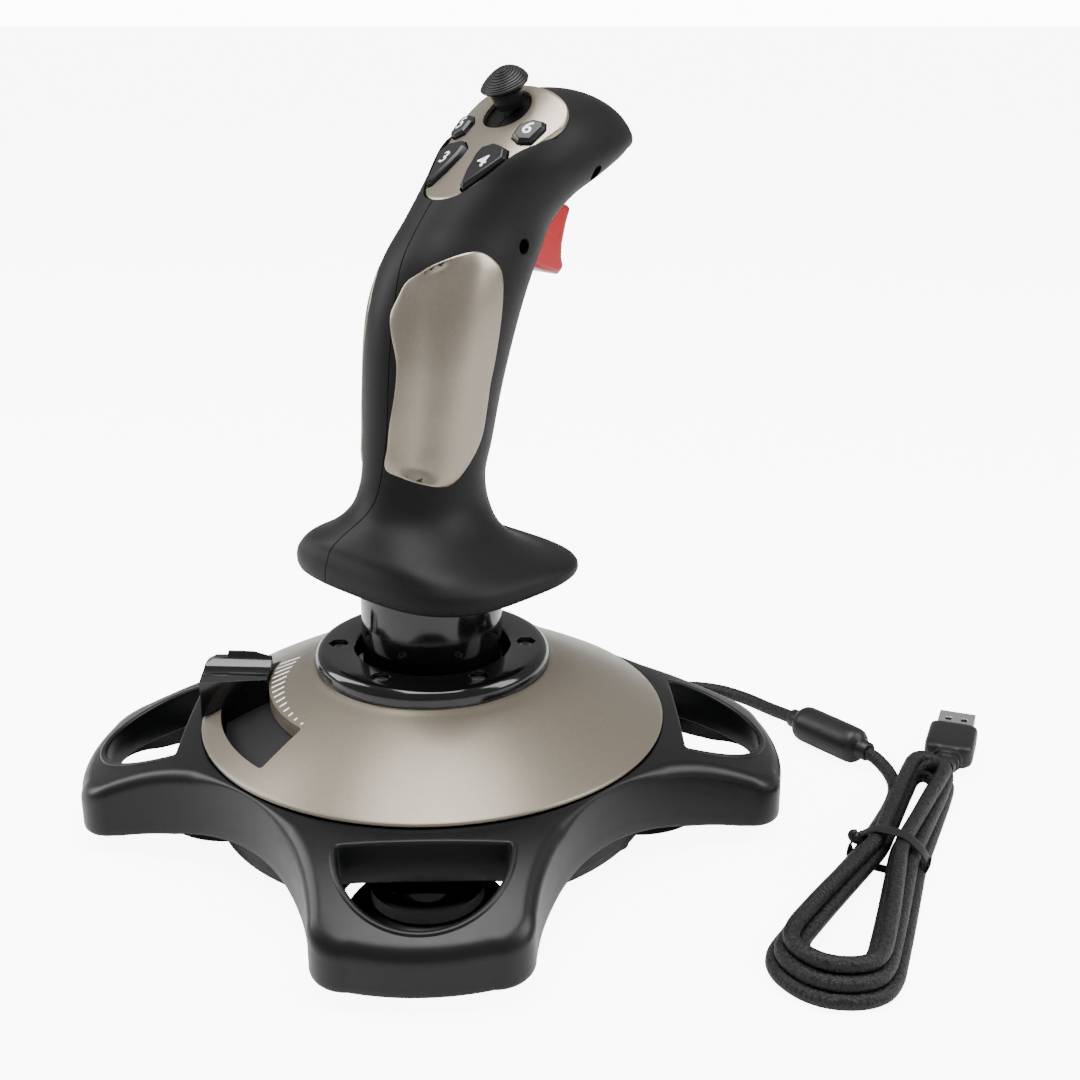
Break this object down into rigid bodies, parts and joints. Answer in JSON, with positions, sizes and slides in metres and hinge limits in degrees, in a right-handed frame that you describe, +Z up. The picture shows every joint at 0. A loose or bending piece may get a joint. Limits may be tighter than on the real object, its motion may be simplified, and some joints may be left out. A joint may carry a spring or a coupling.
{
  "type": "flight joystick",
  "caption": "Desktop flight joystick: tilting and twisting grip with trigger, keys and hat, domed base with throttle lever, suction feet and corded plug.",
  "frame": {"origin": "centre of the four-armed base on the table plane", "axes": "+Z up, +Y forward away from the pilot, +X to the pilot's right; the arms lie on the diagonals"},
  "size_m": [0.2519, 0.2494, 0.2242],
  "materials": {
    "base_black": "satin black moulding",
    "cover_black": "matte black moulding",
    "cup_rubber": "smooth black rubber",
    "gloss_black": "gloss black",
    "dome_champagne": "champagne metallic paint, satin",
    "panel_champagne": "champagne metallic paint, satin",
    "soft_black": "soft-touch black",
    "key_black": "semi-gloss black",
    "hat_rubber": "ridged black rubber",
    "trigger_red": "translucent red",
    "steel": "zinc-plated steel",
    "board_green": "circuit board",
    "acetal_white": "natural acetal",
    "sensor_grey": "moulded grey",
    "cord_braid": "black braided sleeve",
    "moulded_black": "black soft moulding",
    "plug_metal": "nickel-plated steel"
  },
  "bodies": {
    "base": {"base_frame": "base_black", "bottom_cover": "cover_black", "suction_cup_fr": "cup_rubber", "suction_cup_fl": "cup_rubber", "suction_cup_rl": "cup_rubber", "suction_cup_rr": "cup_rubber", "cup_knobs": "gloss_black", "dome_cover": "dome_champagne", "collar_ring": "gloss_black", "collar_screws": "steel", "bottom_screws": "steel", "main_board": "board_green", "board_posts": "cover_black", "pedestal": "cover_black", "pitch_sensor": "sensor_grey", "pitch_spring": "steel", "throttle_sensor": "sensor_grey", "cable_gland": "cover_black", "cord_lead": "cord_braid", "cord_link": "cord_braid", "ferrite_bead": "moulded_black", "cord_hank": "cord_braid", "usb_plug_body": "moulded_black", "usb_plug_shell": "plug_metal", "usb_plug_tongue": "moulded_black"},
    "gimbal": {"gimbal_cross": "acetal_white"},
    "stick": {"stick_column": "gloss_black", "roll_spring": "steel", "roll_sensor": "sensor_grey"},
    "grip": {"grip_right_shell": "soft_black", "grip_left_shell": "soft_black", "side_panel_right": "panel_champagne", "side_panel_left": "panel_champagne", "thumb_panel": "panel_champagne", "grip_screws": "steel", "twist_bearing": "acetal_white", "twist_sensor": "sensor_grey", "button_board": "board_green", "trigger_pin": "steel", "trigger_switch": "board_green", "hat_seat": "acetal_white"},
    "trigger_lever": {"trigger": "trigger_red"},
    "key_3": {"button_3": "key_black"},
    "key_4": {"button_4": "key_black"},
    "key_5": {"button_5": "key_black"},
    "key_6": {"button_6": "key_black"},
    "hat_ring": {"hat_gimbal": "acetal_white"},
    "hat": {"hat_cap": "hat_rubber", "hat_stalk": "acetal_white"},
    "throttle": {"throttle_carriage": "cover_black", "throttle_lever": "gloss_black"}
  },
  "joints": [
    {"name": "pitch", "type": "hinge", "parent": "base", "child": "gimbal", "pos_m": [0, 0, 0.055], "axis": [-1, 0, 0], "range_deg": [-15, 15], "stiffness_Nm_per_rad": 3},
    {"name": "roll", "type": "hinge", "parent": "gimbal", "child": "stick", "pos_m": [0, 0, 0.055], "axis": [0, 1, 0], "range_deg": [-15, 15], "stiffness_Nm_per_rad": 3},
    {"name": "twist", "type": "hinge", "parent": "stick", "child": "grip", "pos_m": [0, 0, 0.09], "axis": [0, 0, 1], "range_deg": [-15, 15], "stiffness_Nm_per_rad": 0.8},
    {"name": "trigger_pull", "type": "hinge", "parent": "grip", "child": "trigger_lever", "pos_m": [0, 0.041, 0.183], "axis": [-1, 0, 0], "range_deg": [0, 9], "stiffness_Nm_per_rad": 0.15, "springref_deg": -11.46},
    {"name": "hat_pitch", "type": "hinge", "parent": "grip", "child": "hat_ring", "pos_m": [0, 0.03685, 0.2095], "axis": [1, 0, 0], "range_deg": [-8, 8], "stiffness_Nm_per_rad": 0.06},
    {"name": "hat_roll", "type": "hinge", "parent": "hat_ring", "child": "hat", "pos_m": [0, 0.03685, 0.2095], "axis": [0, 0.7808, 0.6248], "range_deg": [-8, 8], "stiffness_Nm_per_rad": 0.06},
    {"name": "throttle_turn", "type": "hinge", "parent": "base", "child": "throttle", "pos_m": [0, 0, 0.03], "axis": [0, 0, 1], "range_deg": [-6.5, 36.5]},
    {"name": "press_3", "type": "slide", "parent": "grip", "child": "key_3", "axis": [0.1435, 0.6184, -0.7727], "range_m": [0, 0.0009], "stiffness_N_per_m": 800, "springref_m": -0.0004},
    {"name": "press_4", "type": "slide", "parent": "grip", "child": "key_4", "axis": [-0.1435, 0.6184, -0.7727], "range_m": [0, 0.0009], "stiffness_N_per_m": 800, "springref_m": -0.0004},
    {"name": "press_5", "type": "slide", "parent": "grip", "child": "key_5", "axis": [0.2648, 0.6025, -0.7529], "range_m": [0, 0.0009], "stiffness_N_per_m": 800, "springref_m": -0.0004},
    {"name": "press_6", "type": "slide", "parent": "grip", "child": "key_6", "axis": [-0.2648, 0.6025, -0.7529], "range_m": [0, 0.0009], "stiffness_N_per_m": 800, "springref_m": -0.0004}
  ]
}
